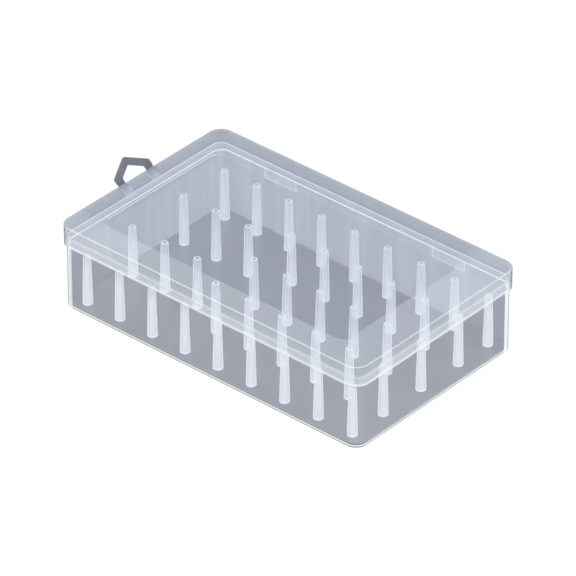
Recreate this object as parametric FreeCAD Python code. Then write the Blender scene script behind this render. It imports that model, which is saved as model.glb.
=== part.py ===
import FreeCAD, Part
import math
import os

# Spool box: a see-through tray of pegs with a hinged lid and a hang loop.
# Millimetres. The origin is the middle of the tray's underside, +Z is up.
# The hinges are on the +Y long wall and the hang loop is on the -X end.

# Lid
lid_length = 240.4
lid_width = 148.6
box_height = 58.9
lid_corner_radius = 9.5
lid_top = 1.4
lid_headroom = 8.5
lid_edge_round = 1.2
skirt_depth = 14.2
skirt_wall = 0.9
skirt_foot_round = 0.35
rim_seat = 0.7

# Sunk clear panel in the lid's top
panel_depth = 0.5
panel_left_margin = 19.8
panel_right_margin = 26.3
panel_front_margin = 17.85
panel_back_margin = 25.5
panel_corner_radius = 6.0

# Tray
tray_wall = 1.4
tray_floor = 1.0
tray_foot_round = 0.7
tray_inner_round = 1.2
rim_round = 0.3
bead_height = 0.35
bead_width = 1.6
bead_round = 0.3
bead_above_foot = 1.1
bead_clearance = 0.3

# Pegs
peg_columns = 9
short_columns = 3
peg_end_gap = 10.85
peg_side_gap = 8.35
four_row_inner = 23.5
four_row_shift = 1.5
five_row_inner = 34.9
peg_height = 35.8
peg_foot_radius = 3.35
peg_tip_radius = 2.4
peg_bore_radius = 1.4
peg_bottom_wall = 2.0
peg_edge_round = 0.4
spigot_radius = 2.0
spigot_recess = 0.1
socket_clearance = 0.05

# Lid hinges
hinge_spacing = 135.0
hinge_length = 26.5
lug_thickness = 3.0
lug_side_gap = 0.25
lug_skirt_gap = 0.3
knuckle_radius = 2.0
knuckle_wall_gap = 0.35
hinge_pin_radius = 1.0
pin_clearance = 0.05

# Hang loop and its two forks
loop_offset = 2.1
loop_half_width = 15.5
loop_leg = 5.1
loop_roof_bar = 4.5
loop_thickness = 2.4
loop_shoulder = 7.4
loop_apex = 16.5
loop_corner_round = 1.6
loop_edge_round = 0.5
loop_tilt = 40.0
fork_drop = 9.1
fork_reach = 4.0
fork_width = 6.3
fork_cheek = 1.2
fork_thickness = 2.6
fork_eye_radius = 1.9
tongue_radius = 1.7
tongue_side_gap = 0.2
fork_end_gap = 0.3
loop_pin_radius = 0.9

# Worked out from the above
half_length = lid_length / 2
half_width = lid_width / 2
foot_z = box_height - skirt_depth
tray_height = box_height - lid_headroom
bead_z = foot_z + bead_above_foot
tray_inset = skirt_wall + bead_clearance + bead_height
band_inset = tray_inset + rim_seat
hollow_inset = tray_inset + tray_wall
hinge_y = half_width - tray_inset + knuckle_wall_gap + knuckle_radius
hinge_z = foot_z - lug_skirt_gap - knuckle_radius
knuckle_length = hinge_length - 2 * (lug_thickness + lug_side_gap)
tilt = math.radians(loop_tilt)
loop_x = -half_length - fork_reach * math.cos(tilt)
loop_z = box_height - fork_drop + fork_reach * math.sin(tilt)

X_AXIS = FreeCAD.Vector(1, 0, 0)
Y_AXIS = FreeCAD.Vector(0, 1, 0)
Z_AXIS = FreeCAD.Vector(0, 0, 1)


def rounded_outline(corners, radius):
    """A closed flat wire through the corners, each one rounded by an arc."""
    edges = []
    joints = []
    count = len(corners)
    for i, corner in enumerate(corners):
        to_last = (corners[i - 1] - corner).normalize()
        to_next = (corners[(i + 1) % count] - corner).normalize()
        half_angle = to_last.getAngle(to_next) / 2
        setback = radius / math.tan(half_angle)
        to_centre = (to_last + to_next).normalize()
        middle = corner + to_centre * (radius / math.sin(half_angle) - radius)
        joints.append((corner + to_last * setback, middle, corner + to_next * setback))
    for i, (start, middle, end) in enumerate(joints):
        edges.append(Part.Arc(start, middle, end).toShape())
        edges.append(Part.LineSegment(end, joints[(i + 1) % count][0]).toShape())
    return Part.Wire(edges)


def rectangle_block(x_low, x_high, y_low, y_high, radius, bottom, top):
    """An upright block with a rounded rectangular outline."""
    corners = [
        FreeCAD.Vector(x_low, y_low, bottom),
        FreeCAD.Vector(x_high, y_low, bottom),
        FreeCAD.Vector(x_high, y_high, bottom),
        FreeCAD.Vector(x_low, y_high, bottom),
    ]
    return Part.Face(rounded_outline(corners, radius)).extrude(Z_AXIS * (top - bottom))


def inset_block(inset, bottom, top):
    """A block whose outline lies evenly inside the lid's outline."""
    x = half_length - inset
    y = half_width - inset
    return rectangle_block(-x, x, -y, y, lid_corner_radius - inset, bottom, top)


def round_level_edges(solid, radius, height):
    """Rounds every edge that lies flat at one height."""
    edges = [e for e in solid.Edges if abs(e.BoundBox.ZMin - height) + abs(e.BoundBox.ZMax - height) < 1e-6]
    return solid.makeFillet(radius, edges)


def rod(radius, length, middle, axis):
    """A round rod centred on a point."""
    return Part.makeCylinder(radius, length, middle - axis * (length / 2), axis)


def span_box(x_low, x_high, y_low, y_high, z_low, z_high):
    """A plain box between two corners."""
    corner = FreeCAD.Vector(x_low, y_low, z_low)
    return Part.makeBox(x_high - x_low, y_high - y_low, z_high - z_low, corner)


def hinge_centres():
    """The middle points of the two lid hinges, left then right."""
    return [FreeCAD.Vector(side * hinge_spacing / 2, hinge_y, hinge_z) for side in (-1, 1)]


def fork_centres():
    """The middle points of the loop's two pivots, front then rear."""
    reach = loop_half_width - loop_leg / 2
    return [FreeCAD.Vector(loop_x, loop_offset + side * reach, loop_z) for side in (-1, 1)]


def peg_places():
    """Where the pegs stand on the floor, column by column from the left."""
    end = half_length - hollow_inset - peg_end_gap
    side = half_width - hollow_inset - peg_side_gap
    places = []
    for column in range(peg_columns):
        x = -end + column * 2 * end / (peg_columns - 1)
        rows = [-side, -five_row_inner, 0, five_row_inner, side]
        if column < short_columns:
            rows = [-side, four_row_shift - four_row_inner, four_row_shift + four_row_inner, side]
        places += [FreeCAD.Vector(x, y, tray_floor) for y in rows]
    return places


def loop_frame(shape):
    """Turns a shape drawn flat, outwards along -X from its pivot, to the loop's place and tilt."""
    shape.rotate(FreeCAD.Vector(0, 0, 0), Y_AXIS, loop_tilt)
    shape.translate(FreeCAD.Vector(loop_x, loop_offset, loop_z))
    return shape


def make_tray():
    tray = round_level_edges(inset_block(tray_inset, 0, tray_height), tray_foot_round, 0)
    tray = round_level_edges(tray, rim_round, tray_height)
    bead = inset_block(tray_inset - bead_height, bead_z - bead_width / 2, bead_z + bead_width / 2)
    bead = round_level_edges(bead, bead_round, bead_z - bead_width / 2)
    bead = round_level_edges(bead, bead_round, bead_z + bead_width / 2)
    tray = tray.fuse(bead)
    wall_face = half_width - tray_inset
    lugs = []
    bores = []
    for centre in hinge_centres():
        for side in (-1, 1):
            middle = centre + X_AXIS * (side * (hinge_length - lug_thickness) / 2)
            root = span_box(
                middle.x - lug_thickness / 2, middle.x + lug_thickness / 2,
                wall_face - tray_wall / 2, hinge_y,
                hinge_z - knuckle_radius, hinge_z + knuckle_radius,
            )
            lugs += [root, rod(knuckle_radius, lug_thickness, middle, X_AXIS)]
        bores.append(rod(hinge_pin_radius + pin_clearance, hinge_length + knuckle_radius, centre, X_AXIS))
    hollow = inset_block(hollow_inset, tray_floor, box_height)
    hollow = round_level_edges(hollow, tray_inner_round, tray_floor)
    socket_radius = spigot_radius + socket_clearance
    sockets = [Part.makeCylinder(socket_radius, 2 * tray_floor, place - Z_AXIS * 1.5 * tray_floor)
               for place in peg_places()]
    return tray.fuse(lugs).cut([hollow] + bores + sockets).removeSplitter()


def make_lid():
    lid = round_level_edges(inset_block(0, foot_z, box_height), lid_edge_round, box_height)
    lid = round_level_edges(lid, skirt_foot_round, foot_z)
    knuckles = []
    holes = []
    for centre in hinge_centres():
        knuckles.append(rod(knuckle_radius, knuckle_length, centre, X_AXIS))
        knuckles.append(span_box(
            centre.x - knuckle_length / 2, centre.x + knuckle_length / 2,
            half_width - skirt_wall, half_width,
            hinge_z, foot_z + knuckle_radius,
        ))
        holes.append(rod(hinge_pin_radius + pin_clearance, hinge_length, centre, X_AXIS))
    arms = []
    slot_width = fork_width - 2 * fork_cheek
    slot_reach = tongue_radius + fork_end_gap
    for centre in fork_centres():
        y = centre.y - loop_offset
        arm = span_box(
            0, fork_reach + band_inset,
            y - fork_width / 2, y + fork_width / 2,
            -fork_thickness / 2, fork_thickness / 2,
        )
        eye = rod(fork_eye_radius, fork_width, FreeCAD.Vector(0, y, 0), Y_AXIS)
        slot = span_box(
            -2 * fork_eye_radius, slot_reach,
            y - slot_width / 2, y + slot_width / 2,
            -2 * fork_eye_radius, 2 * fork_eye_radius,
        )
        arms.append(loop_frame(arm.fuse(eye).cut(slot)))
        holes.append(rod(loop_pin_radius + pin_clearance, 2 * fork_width, centre, Y_AXIS))
    skirt_hollow = inset_block(skirt_wall, foot_z, tray_height)
    top_hollow = inset_block(band_inset, foot_z, box_height - lid_top)
    panel = rectangle_block(
        panel_left_margin - half_length, half_length - panel_right_margin,
        panel_front_margin - half_width, half_width - panel_back_margin,
        panel_corner_radius, box_height - panel_depth, box_height + panel_depth,
    )
    return lid.fuse(knuckles + arms).cut([skirt_hollow, top_hollow, panel] + holes).removeSplitter()


def make_peg(place):
    """A tapered tube with a closed foot and a spigot that sits in the floor."""
    taper_foot = FreeCAD.Vector(peg_foot_radius, 0, 0)
    taper_tip = FreeCAD.Vector(peg_tip_radius, 0, peg_height)
    body = Part.Face(Part.makePolygon([
        FreeCAD.Vector(0, 0, 0), taper_foot, taper_tip, FreeCAD.Vector(0, 0, peg_height), FreeCAD.Vector(0, 0, 0),
    ])).revolve(FreeCAD.Vector(0, 0, 0), Z_AXIS, 360)
    body = round_level_edges(body, peg_edge_round, 0)
    body = round_level_edges(body, peg_edge_round, peg_height)
    bore = Part.makeCylinder(peg_bore_radius, peg_height, FreeCAD.Vector(0, 0, peg_bottom_wall))
    spigot_depth = tray_floor - spigot_recess
    spigot = Part.makeCylinder(spigot_radius, spigot_depth, FreeCAD.Vector(0, 0, -spigot_depth))
    peg = body.fuse(spigot).cut(bore).removeSplitter()
    peg.translate(place)
    return peg


def make_loop():
    """A house-shaped ring whose two legs end in tongues between the fork cheeks."""
    leg_start = fork_eye_radius + fork_end_gap
    inner_half = loop_half_width - loop_leg
    roof_slope = (loop_apex - loop_shoulder) / loop_half_width
    roof_depth = loop_roof_bar * math.hypot(1, roof_slope)
    inner_apex = loop_apex - roof_depth
    inner_shoulder = inner_apex - roof_slope * inner_half
    level = -loop_thickness / 2
    outline = [(leg_start, 1), (loop_shoulder, 1), (loop_apex, 0), (loop_shoulder, -1), (leg_start, -1)]
    outer = [FreeCAD.Vector(-reach, side * loop_half_width, level) for reach, side in outline]
    window = [(0, 1), (inner_shoulder, 1), (inner_apex, 0), (inner_shoulder, -1), (0, -1)]
    inner = [FreeCAD.Vector(-reach, side * inner_half, level) for reach, side in window]
    thickness = Z_AXIS * loop_thickness
    body = Part.Face(rounded_outline(outer, loop_corner_round)).extrude(thickness)
    body = round_level_edges(body, loop_edge_round, level)
    body = round_level_edges(body, loop_edge_round, -level)
    loop = body.cut(Part.Face(rounded_outline(inner, loop_corner_round)).extrude(thickness))
    tongue_width = fork_width - 2 * fork_cheek - 2 * tongue_side_gap
    tongues = []
    bores = []
    for centre in fork_centres():
        y = centre.y - loop_offset
        pivot = FreeCAD.Vector(0, y, 0)
        tongues.append(rod(tongue_radius, tongue_width, pivot, Y_AXIS))
        tongues.append(span_box(
            -leg_start - loop_leg / 2, 0,
            y - tongue_width / 2, y + tongue_width / 2,
            -loop_thickness / 2, loop_thickness / 2,
        ))
        bores.append(rod(loop_pin_radius + pin_clearance, 2 * fork_width, pivot, Y_AXIS))
    return loop_frame(loop.fuse(tongues).cut(bores).removeSplitter())


def make_parts():
    parts = {"base_tray": make_tray(), "lid_cover": make_lid(), "hang_loop": make_loop()}
    for side, centre in zip(("left", "right"), hinge_centres()):
        parts["hinge_pin_" + side] = rod(hinge_pin_radius, hinge_length, centre, X_AXIS)
    for side, centre in zip(("front", "rear"), fork_centres()):
        parts["loop_pin_" + side] = rod(loop_pin_radius, fork_width, centre, Y_AXIS)
    for number, place in enumerate(peg_places(), start=1):
        parts["spool_peg_%02d" % number] = make_peg(place)
    return parts


os.makedirs("parts", exist_ok=True)
for name, shape in make_parts().items():
    shape.exportStep("parts/" + name + ".step")
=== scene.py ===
import math

import bpy
from mathutils import Matrix, Vector

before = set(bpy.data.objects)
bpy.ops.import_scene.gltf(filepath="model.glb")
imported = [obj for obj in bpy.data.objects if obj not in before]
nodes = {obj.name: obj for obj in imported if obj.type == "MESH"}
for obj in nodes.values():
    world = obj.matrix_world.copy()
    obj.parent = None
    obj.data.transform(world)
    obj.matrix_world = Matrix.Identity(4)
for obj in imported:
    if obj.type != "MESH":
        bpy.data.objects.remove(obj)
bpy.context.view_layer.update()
bpy.ops.object.select_all(action="DESELECT")

scene = bpy.context.scene
scene.view_settings.view_transform = "Standard"
scene.cycles.transparent_max_bounces = 64

MM = 0.001

# The top of the colour ramps and the middle of the box, as heights in millimetres.
RAMP_TOP = 60.0
BOX_MIDDLE = 30.0

# Heights of the box's forms in millimetres, from the solids.
TRAY_FLOOR = 1.0
SKIRT_FOOT = 44.7
BEAD_LOW = 45.0
BEAD_HIGH = 46.6
RIM_LOW = 50.15
PANEL_LEVEL = 58.4
LID_TOP = 58.9
PEG_TIP = 36.8

# Heights in millimetres at which the look changes on the pegs, the walls and the lid's thick edge.
PEG_WAIST = 20.0
WALL_SHADE_LOW, WALL_SHADE_HIGH = 38.6, 39.6
BEAD_ON_BACK, BEAD_ON_LEFT = 45.25, 44.9
COLLAR_FOOT = 47.2
EDGE_SHADE_SIDE, EDGE_SHADE_CORNER = 54.9, 49.8

# Places across the box in millimetres. A pair in brackets is where a soft border starts and ends.
CORNER_X, CORNER_Y = 110.7, 64.8
PANEL_X, PANEL_Y = -3.25, -3.825
PANEL_HALF_X, PANEL_HALF_Y = 97.15, 52.625
LEFT_END = (-110.0, -114.0)
BACK_WALL = (60.0, 65.0)
FRONT_ROW = (-55.0, -58.0)
RIGHT_COLUMN = (98.0, 101.0)
FORK_ROOT = (-120.4, -120.7)
LOOP_FEET = (-127.5, -123.5)

# The hinge pads and the strips of the loop's forks, as they show through the walls, in millimetres.
HINGE_X = 67.5
PAD_SIDE, PAD_SIDE_BORDER = (13.2, 12.8), (12.0, 12.4)
PAD_FOOT, PAD_FOOT_BORDER = (37.7, 38.1), (38.9, 38.4)
STRIP_MIDDLE, STRIP_APART = 5.5, 12.0
STRIP_SIDE, STRIP_BORDER = (3.7, 3.4), (2.8, 3.2)
STRIP_SLANT, STRIP_FOOT = 0.79, 45.0

# The painted shade on the low ends of the far walls: how steeply its upper border falls, and its start in
# millimetres.
LEFT_FALL, LEFT_START = 0.888, 64.3
BACK_FALL, BACK_START = -1.024, 121.3
FALL_BORDER = (58.0, 40.0)

# Colours of the clear plastic: thin and clean, a painted shade seen in a thick edge, and pale where a form
# shows through.
CLEAR = (0.97, 0.98, 1.0)
EDGE_SHADE = (0.30, 0.335, 0.39)
PALE = (0.90, 0.93, 0.97)
PLASTIC_IOR = 1.49
POLISHED_IOR = 1.5
GRAIN_DEPTH = 0.2

# Camera as fitted to the photograph, with its distances in millimetres.
VIEW_AZIMUTH = math.radians(41.095)
VIEW_ELEVATION = math.radians(33.80)
VIEW_LENS = 378.94
VIEW_SENSOR = 36.0
VIEW_ASIDE = 0.66
VIEW_ABOVE = 22.52
VIEW_AWAY = 3688.9

# The white floor and the surround: size and place in metres, whites and shares of light.
FLOOR_SIZE = 24.0
FLOOR_BELOW = 0.0003
FLOOR_WHITE = 0.92
FLOOR_GLOW = 1.08
FLOOR_GLOW_SHARE = 0.55
SURROUND_LIGHT = 0.70

# The soft lights: name, place and size in metres, and power in watts.
SOFTBOXES = (
    ("top_softbox", (-0.15, -0.10, 1.30), 1.2, 3.0),
    ("key_softbox", (-0.70, -1.00, 0.95), 0.9, 6.5),
    ("side_softbox", (1.05, 0.25, 0.90), 0.8, 5.5),
)


class Finish:
    """One plastic finish, put together node by node."""

    def __init__(self, name):
        self.material = bpy.data.materials.new(name)
        self.material.use_nodes = True
        self.tree = self.material.node_tree
        self.tree.nodes.clear()
        self.place = self.add("ShaderNodeTexCoord").outputs["Object"]
        self.face = self.add("ShaderNodeTexCoord").outputs["Normal"]
        self.x, self.y, self.z = self.parts_of(self.place)
        self.nx, self.ny, self.up = self.parts_of(self.face)

    def add(self, kind, inputs=None, **settings):
        node = self.tree.nodes.new(kind)
        for key, value in settings.items():
            setattr(node, key, value)
        for key, value in (inputs or {}).items():
            if isinstance(value, bpy.types.NodeSocket):
                self.tree.links.new(value, node.inputs[key])
            else:
                node.inputs[key].default_value = value
        return node

    def parts_of(self, vector):
        return self.add("ShaderNodeSeparateXYZ", {0: vector}).outputs[:3]

    def calc(self, operation, a, b=0.0, c=0.0):
        return self.add("ShaderNodeMath", {0: a, 1: b, 2: c}, operation=operation).outputs[0]

    def times(self, first, *others):
        for other in others:
            first = self.calc("MULTIPLY", first, other)
        return first

    def either(self, a, b):
        return self.calc("MAXIMUM", a, b)

    def rest_of(self, share):
        return self.calc("SUBTRACT", 1.0, share)

    def size_of(self, value):
        return self.calc("ABSOLUTE", value)

    def apart(self, value, middle):
        return self.size_of(self.calc("SUBTRACT", value, middle))

    def step(self, value, low, high, start=0.0, end=1.0):
        node = self.add("ShaderNodeMapRange", {0: value, 1: low, 2: high, 3: start, 4: end})
        node.interpolation_type = "SMOOTHSTEP"
        return node.outputs[0]

    def along(self, value, span, start=0.0, end=1.0):
        """Goes from start to end over a span of places in millimetres."""
        low, high = span
        return self.step(value, low * MM, high * MM, start, end)

    def by_height(self, stops):
        """Colour and cover from a list of heights in millimetres."""
        node = self.add("ShaderNodeValToRGB", {0: self.calc("DIVIDE", self.z, RAMP_TOP * MM)})
        bands = node.color_ramp.elements
        while len(bands) < len(stops):
            bands.new(0.5)
        for band, (height, colour, cover) in zip(bands, stops):
            band.position = height / RAMP_TOP
            band.color = (*colour, cover)
        return node.outputs["Color"], node.outputs["Alpha"]

    def mix_colour(self, share, a, b):
        node = self.add("ShaderNodeMix", data_type="RGBA", blend_type="MIX")
        for key, value in ((0, share), (6, a), (7, b)):
            if isinstance(value, bpy.types.NodeSocket):
                self.tree.links.new(value, node.inputs[key])
            else:
                node.inputs[key].default_value = (*value, 1.0)
        return node.outputs[2]

    def mix_value(self, share, a, b):
        return self.add("ShaderNodeMix", {0: share, 2: a, 3: b}, data_type="FLOAT").outputs[0]

    def paint(self, share, look, colour, cover):
        """Lays a colour and its cover over a look, as far as the share goes."""
        return self.mix_colour(share, look[0], colour), self.mix_value(share, look[1], cover)

    def noise(self, scale, detail, rough=0.5, place=None):
        node = self.add("ShaderNodeTexNoise", {"Vector": place or self.place, "Scale": scale,
                                               "Detail": detail, "Roughness": rough})
        return node.outputs["Fac"]

    def mottle(self, colour, scale):
        """The faint pink and green patches of clear moulded plastic."""
        patch = self.step(self.noise(scale, 1.0), 0.35, 0.65)
        pink, green = (0.985, 0.97, 1.0), (0.96, 1.0, 0.995)
        tinted = self.mix_colour(patch, pink, green)
        return self.add("ShaderNodeMix", {0: 1.0, 6: colour, 7: tinted}, data_type="RGBA",
                        blend_type="MULTIPLY").outputs[2]

    def outside(self):
        """1 on the faces that look away from the middle of the box, 0 on those that look into it."""
        arm = self.add("ShaderNodeVectorMath", {0: self.place, 1: (0.0, 0.0, BOX_MIDDLE * MM)},
                       operation="SUBTRACT").outputs["Vector"]
        lean = self.add("ShaderNodeVectorMath", {0: arm, 1: self.face}, operation="DOT_PRODUCT")
        return self.calc("GREATER_THAN", lean.outputs["Value"], 0.0)

    def upright(self):
        return self.step(self.size_of(self.up), 0.5, 0.2)

    def corner(self):
        """Above 0 on the rounded corners at the front left and the back right, below 0 on the other two."""
        return self.calc("MULTIPLY", self.nx, self.ny)

    def edge_on(self, low, high):
        """Rises from 0 to 1 as a face turns edge-on, where light runs further through the wall."""
        weight = self.add("ShaderNodeLayerWeight", {"Blend": 0.5})
        return self.step(weight.outputs["Facing"], low, high)

    def grain(self, scale, strength):
        return self.add("ShaderNodeBump", {"Strength": strength, "Distance": GRAIN_DEPTH * MM,
                                           "Height": self.noise(scale, 3.0)}).outputs["Normal"]

    def film(self, look, tint, roughness, shine, blur, bump=None, passing=0.85, polish=None, edge_shade=None):
        """A see-through skin: a tinted window, a milky body over it and a gloss on top.

        Its far side is left open, apart from painted shade where a thick edge is seen from within. Light on
        its way to other pieces passes most of the milky body, as it does in thin plastic.
        """
        colour, cover = look
        rays = self.add("ShaderNodeLightPath")
        soft = self.either(rays.outputs["Is Shadow Ray"], rays.outputs["Is Diffuse Ray"])
        held_back = self.step(soft, 0.0, 1.0, 1.0, 1.0 - passing)
        window = self.add("ShaderNodeBsdfTransparent", {"Color": (*CLEAR, 1.0)})
        if tint is not CLEAR:
            self.tree.links.new(self.mix_colour(soft, tint, CLEAR), window.inputs["Color"])
        body = self.add("ShaderNodeBsdfPrincipled", {"Base Color": colour, "Roughness": roughness,
                                                     "IOR": PLASTIC_IOR})
        if bump is not None:
            self.tree.links.new(bump, body.inputs["Normal"])
        skin = self.add("ShaderNodeMixShader", {0: self.times(cover, held_back), 1: window.outputs[0],
                                                2: body.outputs[0]})
        mirror = self.add("ShaderNodeFresnel", {"IOR": shine}).outputs[0]
        if polish is not None:
            bright = self.add("ShaderNodeFresnel", {"IOR": POLISHED_IOR}).outputs[0]
            mirror = self.mix_value(polish, mirror, bright)
        gloss = self.add("ShaderNodeBsdfGlossy", {"Roughness": blur})
        front = self.add("ShaderNodeMixShader", {0: mirror, 1: skin.outputs[0], 2: gloss.outputs[0]})
        within = self.add("ShaderNodeBsdfTransparent", {"Color": (1.0, 1.0, 1.0, 1.0)})
        # Painted shade: a dark grey sheet on the far side, where a thick edge is seen from within.
        if edge_shade is not None:
            dark = self.add("ShaderNodeBsdfDiffuse", {"Color": (*EDGE_SHADE, 1.0)})
            within = self.add("ShaderNodeMixShader", {0: self.times(edge_shade, held_back), 1: within.outputs[0],
                                                      2: dark.outputs[0]})
        back = self.add("ShaderNodeNewGeometry").outputs["Backfacing"]
        sides = self.add("ShaderNodeMixShader", {0: back, 1: front.outputs[0], 2: within.outputs[0]})
        self.add("ShaderNodeOutputMaterial", {"Surface": sides.outputs[0]})
        return self.material

    def solid(self, colour, roughness, bump):
        body = self.add("ShaderNodeBsdfPrincipled", {"Base Color": colour, "Roughness": roughness,
                                                     "IOR": PLASTIC_IOR, "Normal": bump})
        self.add("ShaderNodeOutputMaterial", {"Surface": body.outputs[0]})
        return self.material


def tray_finish():
    """Clear tray: white along the foot, the bead and the rim as painted highlights, the foot also for its
    thick plastic; a hazy collar, and walls milky inside.
    """
    f = Finish("tray_plastic_clear")
    white, collar = (0.95, 0.97, 1.0), (0.82, 0.87, 0.93)
    inner_colour, inner_cover = tray_inside(f, white, collar)
    outer_colour, outer_cover = tray_outside(f, white, collar)
    outside = f.outside()
    colour = f.mottle(f.mix_colour(outside, inner_colour, outer_colour), 28.0)
    cover = f.mix_value(outside, inner_cover, outer_cover)
    polish = f.times(f.step(f.up, 0.9, 0.99), f.along(f.z, (TRAY_FLOOR + 0.6, TRAY_FLOOR + 0.3)))
    return f.film((colour, cover), tint=(0.98, 0.978, 0.98), roughness=0.45, shine=1.2, blur=0.08,
                  bump=f.grain(scale=1500.0, strength=0.05), passing=0.95, polish=polish)


def tray_outside(f, white, collar):
    """A painted contact shadow under the white foot, nearly clear walls, and the bead, the collar and the
    rim's edge.
    """
    foot_shadow, fold_shade = (0.05, 0.055, 0.065), (0.215, 0.222, 0.245)
    wall, shadow_under_skirt = (0.78, 0.82, 0.90), (0.18, 0.20, 0.23)
    # Painted shade: a contact shadow at the foot, a darker band above it and a faint shadow under the lid's
    # skirt.
    # The white foot is thick plastic and a painted highlight; the white bead and the rim's edge are painted
    # highlights.
    look = f.by_height([
        (0.0, foot_shadow, 0.97), (0.95, foot_shadow, 0.97), (1.15, white, 0.97), (1.70, white, 0.97),
        (2.10, fold_shade, 0.85), (3.20, fold_shade, 0.85), (3.60, wall, 0.02),
        (BEAD_LOW - 2.6, wall, 0.02), (BEAD_LOW - 1.8, shadow_under_skirt, 0.13), (BEAD_LOW - 0.3, shadow_under_skirt, 0.13),
        (BEAD_LOW, white, 0.25), (BEAD_HIGH, white, 0.25), (BEAD_HIGH + 0.3, collar, 0.32),
        (RIM_LOW - 0.65, collar, 0.32), (RIM_LOW - 0.55, white, 0.72), (RIM_LOW - 0.20, white, 0.72),
        (RIM_LOW - 0.10, collar, 0.32)])

    # The two side corners turn white and then dark where they are seen edge-on.
    past_x = f.along(f.size_of(f.x), (CORNER_X - 0.8, CORNER_X - 0.2))
    past_y = f.along(f.size_of(f.y), (CORNER_Y - 1.8, CORNER_Y - 1.2))
    side_corners = f.calc("GREATER_THAN", f.times(f.x, f.y), 0.0)
    ends = f.times(past_x, past_y, f.upright(), side_corners, f.edge_on(0.30, 0.40))
    left_white, right_white, dark = (0.74, 0.77, 0.83), (0.88, 0.915, 0.96), (0.25, 0.265, 0.295)
    strip = f.mix_colour(f.along(f.x, (-50.0, 50.0)), left_white, right_white)
    colour, cover = f.paint(ends, look, strip, 0.82)
    outline = f.times(ends, f.edge_on(0.58, 0.72))
    colour = f.mix_colour(outline, colour, dark)

    # Painted highlight: the other corners get a little more milky cover between the foot and the lid.
    milky = f.times(f.step(f.corner(), -0.05, -0.45), f.upright(),
                    f.along(f.z, (3.0, 5.0)), f.along(f.z, (SKIRT_FOOT, SKIRT_FOOT - 1.0)))
    return colour, f.calc("MULTIPLY_ADD", milky, 0.10, cover)


def tray_inside(f, white, collar):
    """A grey floor, milky walls with painted light and shade, and a white rim, with the bead and the hinge
    pads showing through; the rim and the bead's line are painted highlights.
    """
    floor, low_wall = (0.248, 0.256, 0.286), (0.345, 0.38, 0.435)
    high_wall, shaded_top_wall = (0.325, 0.365, 0.425), (0.280, 0.318, 0.375)
    # Painted shade: the walls are darker from the second wall-shade height up to the collar, a shadow under
    # the rim.
    colour, cover = f.by_height([
        (TRAY_FLOOR + 0.1, floor, 0.94), (TRAY_FLOOR + 1.0, low_wall, 0.78),
        (WALL_SHADE_LOW, high_wall, 0.78), (WALL_SHADE_HIGH, shaded_top_wall, 0.78),
        (COLLAR_FOOT - 0.2, shaded_top_wall, 0.78), (COLLAR_FOOT, collar, 0.36),
        (RIM_LOW - 0.35, collar, 0.36), (RIM_LOW - 0.2, white, 0.95)])
    colour = floor_shades(f, colour)
    colour = streaks(f, colour)
    colour, cover = shaded_ends(f, (colour, cover))
    colour = hinge_pads(f, colour)

    # Painted highlight: the bead's bright line as it shows through the far walls.
    left_wall = f.step(f.nx, 0.3, 0.7)
    bead_height = f.mix_value(left_wall, BEAD_ON_BACK * MM, BEAD_ON_LEFT * MM)
    seen_bead = f.along(f.apart(f.z, bead_height), (0.85, 0.50))
    seen_bead = f.times(seen_bead, f.mix_value(left_wall, 1.0, 0.85))
    look = f.paint(seen_bead, (colour, cover), white, 0.90)

    # The fold between the floor and the front or the right wall, whose inner faces look back or left.
    near_walls = f.step(f.either(f.ny, f.times(f.nx, -1.0)), 0.05, 0.2)
    near_fold = f.times(near_walls, f.along(f.z, (2.6, 2.3)))
    return f.paint(near_fold, look, floor, 0.95)


def floor_shades(f, colour):
    """Painted light and shade: the floor is lighter towards its left end and its back right corner, darker
    at the front right.
    """
    lit_floor, shaded_floor = (0.285, 0.295, 0.33), (0.215, 0.22, 0.242)
    level = f.step(f.up, 0.9, 0.98)
    left = f.along(f.x, (-55.0, -110.0))
    back_right = f.times(f.along(f.x, (55.0, 110.0)), f.along(f.y, (-20.0, 60.0)))
    front_right = f.times(f.along(f.x, (60.0, 110.0)), f.along(f.y, (10.0, -60.0)))
    colour = f.mix_colour(f.times(f.either(left, back_right), level), colour, lit_floor)
    return f.mix_colour(f.times(front_right, level), colour, shaded_floor)


def streaks(f, colour):
    """Soft upright streaks on the walls, and a painted highlight as a lighter streak in each rounded
    corner.
    """
    streak_and_highlight = (0.86, 0.90, 0.96)
    flat = f.add("ShaderNodeVectorMath", {0: f.place, 1: (1.0, 1.0, 0.06)},
                 operation="MULTIPLY").outputs["Vector"]
    walls = f.step(f.up, 0.7, 0.3)
    bands = f.times(f.step(f.noise(70.0, 2.0, 0.6, flat), 0.40, 0.72, 0.0, 0.16), walls)
    # Painted highlight: a lighter streak in each rounded corner.
    corner_highlights = f.times(f.step(f.size_of(f.corner()), 0.25, 0.5, 0.0, 0.22), walls)
    return f.mix_colour(f.either(bands, corner_highlights), colour, streak_and_highlight)


def shaded_ends(f, look):
    """Painted shade: the left wall darkens low down towards the front, and the back wall towards the right.
    """
    fold_shade, shade = (0.262, 0.270, 0.303), (0.325, 0.335, 0.375)
    along_left = f.calc("MULTIPLY_ADD", f.y, LEFT_FALL, LEFT_START * MM)
    along_back = f.calc("MULTIPLY_ADD", f.x, BACK_FALL, BACK_START * MM)
    left_wall = f.step(f.nx, 0.3, 0.7)
    away = f.mix_value(left_wall, along_back, along_left)
    low = f.along(f.calc("ADD", f.z, away), FALL_BORDER)
    low = f.times(low, f.along(f.z, (COLLAR_FOOT, COLLAR_FOOT - 0.2)))
    return f.paint(low, look, f.mix_colour(f.along(f.z, (1.8, 2.4)), fold_shade, shade), 0.94)


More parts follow.
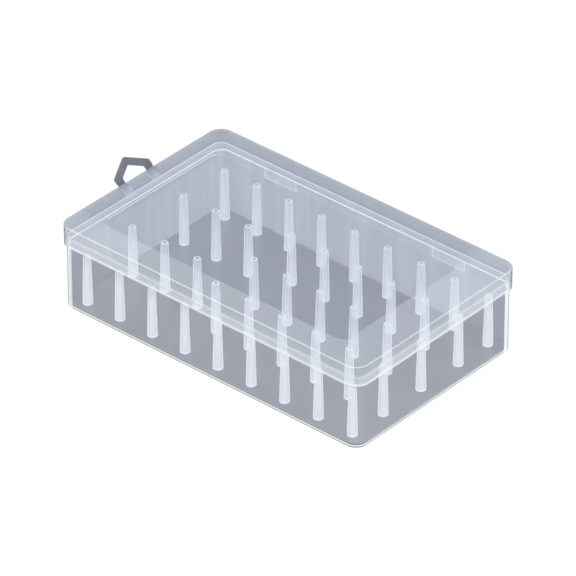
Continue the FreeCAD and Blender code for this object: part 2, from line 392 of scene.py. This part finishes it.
def hinge_pads(f, colour):
    """The hinge pads show through the back wall as faint plates with brighter side and lower borders."""
    aside = f.apart(f.size_of(f.x), HINGE_X * MM)
    plate = f.times(f.along(aside, PAD_SIDE), f.along(f.z, PAD_FOOT))
    back = f.times(f.step(f.ny, -0.5, -0.9), f.along(f.y, BACK_WALL))
    under_bead = f.along(f.z, (BEAD_ON_BACK, BEAD_ON_BACK - 0.3))
    border = f.either(f.along(f.z, PAD_FOOT_BORDER), f.along(aside, PAD_SIDE_BORDER))
    mark = f.times(plate, back, under_bead, f.calc("MULTIPLY_ADD", border, 0.48, 0.18))
    return f.mix_colour(mark, colour, PALE)


def lid_finish():
    """Clear lid: a frosted border round a clearer sunk panel, white edges as painted highlights and painted
    shade on the skirt.
    """
    f = Finish("lid_plastic_frosted")
    inner_colour, inner_cover = lid_inside(f)
    outer_colour, outer_cover = lid_outside(f)
    outside = f.either(f.outside(), f.along(f.z, (LID_TOP - 1.0, LID_TOP - 0.8)))
    colour = f.mottle(f.mix_colour(outside, inner_colour, outer_colour), 24.0)
    cover = f.mix_value(outside, inner_cover, outer_cover)
    fork_slate, top_tint = (0.11, 0.125, 0.15), (0.868, 0.90, 0.940)
    look = f.paint(f.along(f.x, FORK_ROOT), (colour, cover), fork_slate, 1.0)
    tint = f.mix_colour(f.step(f.size_of(f.up), 0.5, 0.9), CLEAR, top_tint)
    return f.film(look, tint=tint, roughness=0.45, shine=1.2, blur=0.10,
                  bump=f.grain(scale=1500.0, strength=0.06), passing=0.95, edge_shade=lid_edge_shade(f))


def lid_outside(f):
    """A white foot, a hazy skirt, a frosted border and a clear panel, with white edges and dark corners;
    the white foot, edges and step are painted highlights.
    """
    white, skirt = (0.94, 0.97, 1.0), (0.80, 0.845, 0.90)
    frost, panel = (0.78, 0.83, 0.90), (0.72, 0.76, 0.84)
    colour, cover = f.by_height([
        # Painted highlight: the white foot of the skirt.
        (SKIRT_FOOT + 1.9, white, 0.62), (SKIRT_FOOT + 2.6, skirt, 0.24),
        (PANEL_LEVEL - 1.0, skirt, 0.24), (PANEL_LEVEL - 0.1, panel, 0.04),
        (PANEL_LEVEL + 0.1, panel, 0.04), (LID_TOP - 0.2, frost, 0.22)])

    # The border has a thinner milky cover along the left end and the back.
    left_border = f.times(f.along(f.x, (-98.4, -102.4)), f.along(f.y, (-62.0, -50.0)))
    back_border = f.times(f.along(f.y, (47.0, 51.0)), f.along(f.x, (96.0, 84.0)))
    clearer = f.times(f.either(left_border, back_border), f.step(f.up, 0.9, 0.97))
    look = colour, f.mix_value(clearer, cover, 0.12)

    # Painted highlight: the step at the panel's left edge is white.
    ledge_highlight = f.times(f.step(f.nx, 0.5, 0.8), f.along(f.z, (PANEL_LEVEL - 0.1, PANEL_LEVEL)),
                    f.along(f.x, (-95.0, -98.0)))
    look = f.paint(ledge_highlight, look, white, 0.75)

    # Painted highlight: the rounded top edge is white, less so round the side corners.
    edge_highlight = f.times(f.step(f.up, 0.25, 0.42), f.step(f.up, 0.95, 0.88),
                   f.rest_of(f.edge_on(0.42, 0.52)), f.step(f.corner(), 0.02, 0.14, 1.0, 0.35))
    look = f.paint(edge_highlight, look, white, 0.48)

    # A corner turns grey and then dark where it is seen edge-on.
    grey, dark = (0.40, 0.44, 0.50), (0.07, 0.075, 0.085)
    turned = f.times(f.step(f.size_of(f.corner()), 0.02, 0.14), f.edge_on(0.40, 0.50))
    look = f.paint(f.times(turned, f.upright()), look, grey, 0.50)
    outline = f.times(turned, f.edge_on(0.58, 0.68), f.step(f.up, 0.9, 0.7))
    return f.paint(outline, look, dark, 0.94)


def lid_inside(f):
    """Painted shade on the skirt, and an underside that is milkier round the panel than under it."""
    under, shade = (0.50, 0.55, 0.63), (0.268, 0.300, 0.350)
    downward = f.step(f.up, -0.78, -0.92)
    colour = fork_strips(f, f.mix_colour(downward, shade, under))
    beside_x = f.along(f.apart(f.x, PANEL_X * MM), (PANEL_HALF_X, PANEL_HALF_X + 0.4))
    beside_y = f.along(f.apart(f.y, PANEL_Y * MM), (PANEL_HALF_Y, PANEL_HALF_Y + 0.4))
    underside = f.mix_value(f.either(beside_x, beside_y), 0.30, 0.48)
    # Painted shade: the skirt's inner face is covered dark from just above its foot.
    skirt = f.along(f.z, (SKIRT_FOOT + 0.1, SKIRT_FOOT + 0.6), 0.0, 0.85)
    return colour, f.mix_value(downward, skirt, underside)


def lid_edge_shade(f):
    """Painted shade on the top of the skirt, seen from within its thick edge. It reaches lower at a corner
    seen edge-on.
    """
    from_within = f.times(f.rest_of(f.outside()), f.step(f.size_of(f.up), 0.9, 0.8))
    bend = f.times(f.step(f.size_of(f.corner()), 0.02, 0.14), f.edge_on(0.42, 0.50))
    above = f.calc("SUBTRACT", f.z, f.mix_value(bend, EDGE_SHADE_SIDE * MM, EDGE_SHADE_CORNER * MM))
    return f.times(from_within, f.along(above, (0.0, 0.5), 0.0, 0.80))


def fork_strips(f, colour):
    """The loop's two forks show through the left skirt as light slanting strips with brighter borders."""
    slant = f.calc("MULTIPLY_ADD", f.z, STRIP_SLANT, -STRIP_SLANT * STRIP_FOOT * MM)
    from_middle = f.apart(f.calc("ADD", f.y, slant), STRIP_MIDDLE * MM)
    off = f.apart(from_middle, STRIP_APART * MM)
    border = f.calc("MULTIPLY_ADD", f.along(off, STRIP_BORDER), 0.38, 0.20)
    left_skirt = f.times(f.step(f.nx, 0.5, 0.9), f.along(f.x, LEFT_END))
    return f.mix_colour(f.times(f.along(off, STRIP_SIDE), border, left_skirt), colour, PALE)


def peg_finish():
    """Milky pegs: whiter along their outlines and at the foot, and with painted light in the front row and
    in the right column.
    """
    f = Finish("peg_plastic_milky")
    white, milk, tip = (0.98, 0.985, 1.0), (0.905, 0.925, 0.965), (0.79, 0.815, 0.86)
    colour, cover = f.by_height([
        (TRAY_FLOOR, white, 0.97), (TRAY_FLOOR + 1.0, white, 0.95), (TRAY_FLOOR + 2.0, milk, 0.80),
        (PEG_WAIST, milk, 0.53), (PEG_TIP - 1.4, milk, 0.32)])
    front_row = f.along(f.y, FRONT_ROW)
    # Painted light: the pegs of the front row and the right column are whiter.
    lit_near_pegs = f.times(f.either(front_row, f.along(f.x, RIGHT_COLUMN)),
                   f.along(f.z, (4.0, 30.0), 0.02, 0.21), f.along(f.z, (26.0, 34.0), 1.0, 0.5))
    cover = f.calc("MINIMUM", f.calc("ADD", cover, lit_near_pegs), 0.97)
    look = f.paint(f.step(f.up, 0.25, 0.55), (colour, cover), tip, 0.85)
    outline = f.times(f.edge_on(0.42, 0.60), f.step(f.up, 0.5, 0.3))
    colour, cover = f.paint(outline, look, white, 0.97)
    behind_skirt = f.times(front_row, f.along(f.z, (PEG_TIP - 0.9, PEG_TIP - 0.3)))
    cover = f.times(cover, f.step(behind_skirt, 0.0, 1.0, 1.0, 0.3))
    return f.film((colour, cover), tint=CLEAR, roughness=0.40, shine=1.1, blur=0.12,
                  bump=f.grain(scale=1800.0, strength=0.12), passing=0.7)


def loop_finish():
    """Slate grey loop with a fine moulded grain, and painted shade at the feet where they meet the lid."""
    f = Finish("loop_plastic_slate")
    dark_slate, light_slate, shaded_feet_slate = (0.118, 0.134, 0.170), (0.144, 0.161, 0.198), (0.085, 0.10, 0.12)
    patch = f.step(f.noise(160.0, 3.0), 0.3, 0.7)
    colour = f.mix_colour(patch, dark_slate, light_slate)
    # Painted shade: the feet darken towards the lid.
    feet_shade = f.along(f.x, LOOP_FEET, 0.0, 0.75)
    colour = f.mix_colour(feet_shade, colour, shaded_feet_slate)
    return f.solid(colour, roughness=0.42, bump=f.grain(scale=2200.0, strength=0.25))


def pin_finish():
    """Clear pins of the hinges and the loop."""
    f = Finish("pin_plastic_clear")
    dark_pin, light_pin = (0.62, 0.66, 0.72), (0.70, 0.74, 0.80)
    patch = f.step(f.noise(900.0, 2.0), 0.3, 0.7)
    colour = f.mix_colour(patch, dark_pin, light_pin)
    cover = f.edge_on(0.2, 0.9)
    return f.film((colour, cover), tint=CLEAR, roughness=0.35, shine=1.3, blur=0.1)


def dress_box():
    """Gives each piece of the box its finish."""
    finishes = {
        "base_tray": tray_finish(),
        "lid_cover": lid_finish(),
        "spool_peg": peg_finish(),
        "hang_loop": loop_finish(),
        "hinge_pin": pin_finish(),
    }
    finishes["loop_pin"] = finishes["hinge_pin"]
    for name, node in nodes.items():
        for start, finish in finishes.items():
            if name.startswith(start):
                node.material_slots[0].material = finish


def seen_rays(tree):
    """1 for the rays that show a surface to the camera, straight, in a gloss or through clear plastic."""
    rays = tree.nodes.new("ShaderNodeLightPath")
    direct = tree.nodes.new("ShaderNodeMath")
    direct.operation = "MAXIMUM"
    tree.links.new(rays.outputs["Is Camera Ray"], direct.inputs[0])
    tree.links.new(rays.outputs["Is Glossy Ray"], direct.inputs[1])
    seen = tree.nodes.new("ShaderNodeMath")
    seen.operation = "MAXIMUM"
    tree.links.new(direct.outputs[0], seen.inputs[0])
    tree.links.new(rays.outputs["Is Transmission Ray"], seen.inputs[1])
    return seen.outputs[0]


def add_floor():
    """A plain white floor that keeps the soft shadow."""
    bpy.ops.mesh.primitive_plane_add(size=FLOOR_SIZE, location=(0.0, 0.0, -FLOOR_BELOW))
    floor = bpy.context.active_object
    floor.name = "stage_floor"
    paint = bpy.data.materials.new("stage_white")
    paint.use_nodes = True
    tree = paint.node_tree
    tree.nodes.clear()
    share = tree.nodes.new("ShaderNodeMath")
    share.operation = "MULTIPLY"
    tree.links.new(seen_rays(tree), share.inputs[0])
    share.inputs[1].default_value = FLOOR_GLOW_SHARE
    matte = tree.nodes.new("ShaderNodeBsdfDiffuse")
    matte.inputs["Color"].default_value = (FLOOR_WHITE, FLOOR_WHITE, FLOOR_WHITE, 1.0)
    glow = tree.nodes.new("ShaderNodeEmission")
    glow.inputs["Strength"].default_value = FLOOR_GLOW
    both = tree.nodes.new("ShaderNodeMixShader")
    tree.links.new(share.outputs[0], both.inputs[0])
    tree.links.new(matte.outputs[0], both.inputs[1])
    tree.links.new(glow.outputs[0], both.inputs[2])
    out = tree.nodes.new("ShaderNodeOutputMaterial")
    tree.links.new(both.outputs[0], out.inputs["Surface"])
    floor.data.materials.append(paint)


def add_surround():
    """A white surround that lights the box a little less than it shows."""
    world = bpy.data.worlds.new("white_surround")
    scene.world = world
    world.use_nodes = True
    tree = world.node_tree
    tree.nodes.clear()
    level = tree.nodes.new("ShaderNodeMapRange")
    tree.links.new(seen_rays(tree), level.inputs[0])
    level.inputs[3].default_value = SURROUND_LIGHT
    level.inputs[4].default_value = 1.0
    sky = tree.nodes.new("ShaderNodeBackground")
    sky.inputs["Color"].default_value = (1.0, 1.0, 1.0, 1.0)
    tree.links.new(level.outputs[0], sky.inputs["Strength"])
    out = tree.nodes.new("ShaderNodeOutputWorld")
    tree.links.new(sky.outputs[0], out.inputs["Surface"])


def add_softbox(name, place, size, power):
    """A square soft light that looks at the middle of the box."""
    data = bpy.data.lights.new(name, "AREA")
    data.shape = "SQUARE"
    data.size = size
    data.energy = power
    light = bpy.data.objects.new(name, data)
    scene.collection.objects.link(light)
    light.location = place
    aim = Vector((0.0, 0.0, BOX_MIDDLE * MM)) - Vector(place)
    light.rotation_euler = aim.to_track_quat("-Z", "Y").to_euler()


def add_camera():
    """The photograph's camera."""
    away = Vector((math.sin(VIEW_AZIMUTH) * math.cos(VIEW_ELEVATION),
                   -math.cos(VIEW_AZIMUTH) * math.cos(VIEW_ELEVATION),
                   math.sin(VIEW_ELEVATION)))
    right = Vector((math.cos(VIEW_AZIMUTH), math.sin(VIEW_AZIMUTH), 0.0))
    above = away.cross(right)
    place = (VIEW_ASIDE * right + VIEW_ABOVE * above + VIEW_AWAY * away) * MM
    data = bpy.data.cameras.new("photo_camera")
    data.lens = VIEW_LENS
    data.sensor_width = VIEW_SENSOR
    camera = bpy.data.objects.new("photo_camera", data)
    scene.collection.objects.link(camera)
    turn = Matrix((right, above, away)).transposed().to_4x4()
    camera.matrix_world = Matrix.Translation(place) @ turn
    scene.camera = camera


dress_box()
add_floor()
add_surround()
for softbox in SOFTBOXES:
    add_softbox(*softbox)
add_camera()
